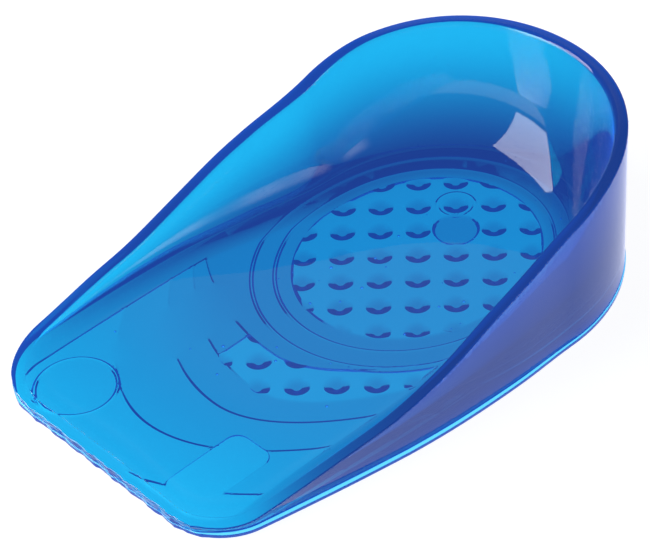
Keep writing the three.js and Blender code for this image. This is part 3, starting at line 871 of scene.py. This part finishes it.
def bubbles_tree():
    tree = new_group("Scatter bubbles and beads", {
        "Seam": "NodeSocketObject",
        "Middle": "NodeSocketVector",
        "Width": "NodeSocketFloat",
        "Length": "NodeSocketFloat",
        "Bubbles": "NodeSocketInt",
        "Bead spacing": "NodeSocketFloat",
        "Seed": "NodeSocketInt",
        "Material": "NodeSocketMaterial",
    })
    given = add_node(tree, "NodeGroupInput").outputs
    line = add_node(tree, "GeometryNodePoints", {"Count": given["Bubbles"]})
    half = add_node(tree, "ShaderNodeCombineXYZ", {"X": given["Width"], "Y": given["Length"], "Z": 0.0})
    place = add_node(tree, "FunctionNodeRandomValue", {
        "Min": (-0.5, -0.5, 0.0),
        "Max": (0.5, 0.5, 0.0),
        "Seed": given["Seed"],
    }, data_type="FLOAT_VECTOR")
    spread = add_node(tree, "ShaderNodeVectorMath", {
        0: place.outputs[0],
        1: half.outputs[0],
        2: given["Middle"],
    }, operation="MULTIPLY_ADD")
    height = add_node(tree, "FunctionNodeRandomValue", {
        "Min": BUBBLE_HEIGHTS[0],
        "Max": BUBBLE_HEIGHTS[1],
        "Seed": given["Seed"],
    })
    lifted = add_node(tree, "ShaderNodeCombineXYZ", {"X": 0.0, "Y": 0.0, "Z": height.outputs[1]})
    placed = add_node(tree, "GeometryNodeSetPosition", {
        "Geometry": line.outputs[0],
        "Position": spread.outputs[0],
        "Offset": lifted.outputs[0],
    })
    bubbles = scatter(tree, placed.outputs[0], BUBBLE_SIZES, given["Seed"], BUBBLE_ROUNDS)
    seam = add_node(tree, "GeometryNodeObjectInfo", {"Object": given["Seam"]})
    curve = add_node(tree, "GeometryNodeMeshToCurve", {"Mesh": seam.outputs["Geometry"]})
    spaced = add_node(tree, "GeometryNodeResampleCurve", {
        "Curve": curve.outputs[0],
        "Length": given["Bead spacing"],
    }, mode="LENGTH")
    dots = add_node(tree, "GeometryNodeCurveToPoints", {"Curve": spaced.outputs[0]}, mode="EVALUATED")
    beads = scatter(tree, dots.outputs["Points"], BEAD_SIZES, given["Seed"], BEAD_ROUNDS)
    joined = add_node(tree, "GeometryNodeMeshBoolean", operation="UNION", solver="MANIFOLD")
    tree.links.new(given["Geometry"], joined.inputs["Mesh 2"])
    tree.links.new(beads, joined.inputs["Mesh 2"])
    cut = add_node(tree, "GeometryNodeMeshBoolean", {
        "Mesh 1": joined.outputs["Mesh"],
        "Mesh 2": bubbles,
    }, operation="DIFFERENCE", solver="MANIFOLD")
    plain = add_node(tree, "GeometryNodeRealizeInstances", {"Geometry": cut.outputs["Mesh"]})
    painted = add_node(tree, "GeometryNodeSetMaterial", {
        "Geometry": plain.outputs[0],
        "Material": given["Material"],
    })
    add_node(tree, "NodeGroupOutput", {"Geometry": painted.outputs[0]})
    return tree


# %% [markdown]
# The seam is the outer edge of the rim. Its points come from the wall's own rows, so that the
# beads sit right on the edge, from the front end of the right wall to the back of the heel.


# %% Scatter them and keep the plain mesh
SEAM_FROM = 2.5  # the beads start where the wall is this high
SEAM_UNTIL_Y = 44
BUBBLES_Y, BUBBLES_WIDTH, BUBBLES_LENGTH = 8, 44, 78  # the place for bubbles
SHARP_ANGLE = 10  # edges sharper than this many degrees are not smoothed over


def seam_line():
    """The rim's outer edge along the right side, as a mesh of edges only."""
    row = wall[FOLD_STEPS + 2 * ROUND_STEPS + 1]
    keep = (row[:, 0] > RELIEF_X) & (wall_height(row[:, 1]) > SEAM_FROM) & (row[:, 1] < SEAM_UNTIL_Y)
    points = row[keep]
    points = points[np.argsort(points[:, 1])]
    mesh = bpy.data.meshes.new("seam")
    mesh.from_pydata((points * MM).tolist(), [(i, i + 1) for i in range(len(points) - 1)], [])
    return mesh


seam = hidden("seam", seam_line())
use_group(cup, bubbles_tree(), {
    "Seam": seam,
    "Middle": [RELIEF_X * MM, BUBBLES_Y * MM, 0],
    "Width": BUBBLES_WIDTH * MM,
    "Length": BUBBLES_LENGTH * MM,
    "Bubbles": BUBBLES,
    "Bead spacing": BEAD_SPACING,
    "Seed": SEED,
    "Material": gel,
})


def keep_plain(obj):
    """Turns what the modifiers made into the object's own mesh."""
    seen = obj.evaluated_get(bpy.context.evaluated_depsgraph_get())
    made = bpy.data.meshes.new_from_object(seen)
    obj.modifiers.clear()
    obj.data = made
    made.name = obj.name
    made.shade_smooth()
    made.set_sharp_from_angle(angle=math.radians(SHARP_ANGLE))
    return made


finished = keep_plain(cup)
print(len(finished.polygons), "faces,", [m.name for m in finished.materials])

# %% [markdown]
# ## Join it to the frame
#
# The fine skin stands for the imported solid, rides on the only body and takes the gel slot.

# %% Ride on the frame
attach(cup, "root")
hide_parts("heel_cup")
print("the skin rides on the root body")

# %% [markdown]
# ## Floor, lights and camera
#
# The photograph was taken on a white ground. Light comes through the gel from below, so the
# floor glows as well as taking light. A faint softbox hangs behind the cup, where the camera
# sees it mirrored in the level gel under the heel, and it fades out towards the toe. The key
# softbox is mirrored in the steep inner wall of the heel, and a small soft one fills the side.

# %% Floor
FLOOR_SIZE = 4
AIR_GAP = 0.02 * MM  # thin air between the sheet and the gel
FLOOR_GREY = "#808080"  # what it reflects; the rest of its white is its own glow
FLOOR_GLOW, FLOOR_ROUGHNESS, FLOOR_SHINE = 0.95, 0.6, 0.2


def floor_material():
    """Opal acrylic sheet, lit from underneath."""
    material = bpy.data.materials.new("opal acrylic")
    material.use_nodes = True
    surface = material.node_tree.nodes["Principled BSDF"]
    surface.inputs["Base Color"].default_value = linear(FLOOR_GREY)
    surface.inputs["Roughness"].default_value = FLOOR_ROUGHNESS
    surface.inputs["Specular IOR Level"].default_value = FLOOR_SHINE
    surface.inputs["Emission Color"].default_value = (1, 1, 1, 1)
    surface.inputs["Emission Strength"].default_value = FLOOR_GLOW
    return material


bpy.ops.mesh.primitive_plane_add(size=FLOOR_SIZE, location=(0, 0, -AIR_GAP))
floor = bpy.context.object
floor.name = "floor"
floor.data.materials.append(floor_material())
print("floor", FLOOR_SIZE, "m wide")


# %% World and softboxes
def softbox(name, direction, distance, size, strength, fade, shift=(0, 0)):
    """A glowing rectangle that faces the heel and fades out over a share of its size."""
    material = bpy.data.materials.new(name)
    material.use_nodes = True
    tree = material.node_tree
    tree.nodes.clear()
    place = add_node(tree, "ShaderNodeTexCoord").outputs["Generated"]
    parts = add_node(tree, "ShaderNodeSeparateXYZ", {0: place})
    glow = 1.0
    for axis, soft in zip("XY", fade):
        centred = add_node(tree, "ShaderNodeMath", {0: parts.outputs[axis], 1: 0.5}, operation="SUBTRACT")
        out = add_node(tree, "ShaderNodeMath", {0: centred.outputs[0]}, operation="ABSOLUTE")
        share = add_node(tree, "ShaderNodeMapRange", {
            "Value": out.outputs[0],
            "From Min": 0.5,
            "From Max": 0.5 - soft,
            "To Min": 0.0,
            "To Max": 1.0,
        }, interpolation_type="SMOOTHSTEP")
        faded = add_node(tree, "ShaderNodeMath", {0: share.outputs[0], 1: glow}, operation="MULTIPLY")
        glow = faded.outputs[0]
    power = add_node(tree, "ShaderNodeMath", {0: glow, 1: strength}, operation="MULTIPLY")
    light = add_node(tree, "ShaderNodeEmission", {"Strength": power.outputs[0]})
    add_node(tree, "ShaderNodeOutputMaterial", {"Surface": light.outputs[0]})
    bpy.ops.mesh.primitive_plane_add(size=1)
    box = bpy.context.object
    box.name = name
    box.scale = (*size, 1)
    away = Vector(direction).normalized()
    facing = away.to_track_quat("Z", "Y")
    box.location = Vector(HEEL) * MM + away * distance + facing @ Vector((*shift, 0))
    box.rotation_euler = facing.to_euler()
    box.data.materials.append(material)
    box.visible_camera = False
    return box


HEEL = (0, 22, FLOOR)  # what the softboxes face
WORLD_GREY = 0.05
world = bpy.context.scene.world or bpy.data.worlds.new("studio")
bpy.context.scene.world = world
world.use_nodes = True
world.node_tree.nodes["Background"].inputs["Color"].default_value = (1, 1, 1, 1)
world.node_tree.nodes["Background"].inputs["Strength"].default_value = WORLD_GREY

# %% [markdown]
# The camera stands well back with a long lens, turned to the cup's right side, and leans a
# little. Its place follows from three directions: the way it looks, its right and its up.

# %% Camera
AZIMUTH, ELEVATION, ROLL = (math.radians(a) for a in (49.5, 40.2, 4.5))
DISTANCE, AIM = 533.3, (1.95, 13.25, 0)
AIM_RIGHT, AIM_UP = -14.17, 1.417  # how far the picture's middle is off the aim
LENS, SENSOR = 177.2, 36

level_right = Vector((math.cos(AZIMUTH), math.sin(AZIMUTH), 0))
back = Vector((math.sin(AZIMUTH), -math.cos(AZIMUTH), math.tan(ELEVATION))).normalized()
level_up = back.cross(level_right)
right = level_right * math.cos(ROLL) - level_up * math.sin(ROLL)
up = level_right * math.sin(ROLL) + level_up * math.cos(ROLL)
place = Vector(AIM) + back * DISTANCE + right * AIM_RIGHT + up * AIM_UP

lens = bpy.data.cameras.new("camera")
lens.lens, lens.sensor_width, lens.clip_end = LENS, SENSOR, 10
camera = bpy.data.objects.new("camera", lens)
camera.matrix_world = Matrix.Translation(place * MM) @ Matrix((right, up, back)).transposed().to_4x4()
bpy.context.scene.collection.objects.link(camera)
bpy.context.scene.camera = camera
print("camera at", [round(v, 1) for v in place], "mm")


# %% Softboxes
def bearing(azimuth, elevation):
    """A direction from its angles: anticlockwise from the cup's right side, and up."""
    a, e = math.radians(azimuth), math.radians(elevation)
    return Vector((math.cos(a) * math.cos(e), math.sin(a) * math.cos(e), math.sin(e)))


mirrored = Vector((-back.x, -back.y, back.z))  # where a level surface sends the camera's view
softbox(
    "behind", mirrored, distance=0.6, size=(0.3, 0.5), strength=0.35,
    fade=(0.4, 0.2), shift=(0.01, -0.12),
)
softbox("key", bearing(-125, 23), distance=0.75, size=(0.85, 0.56), strength=8, fade=(0.02, 0.02))
softbox("fill", bearing(10, 20), distance=0.75, size=(0.3, 0.3), strength=2.5, fade=(0.4, 0.4))
bpy.context.scene.view_settings.view_transform = "Standard"
print("world and three softboxes")
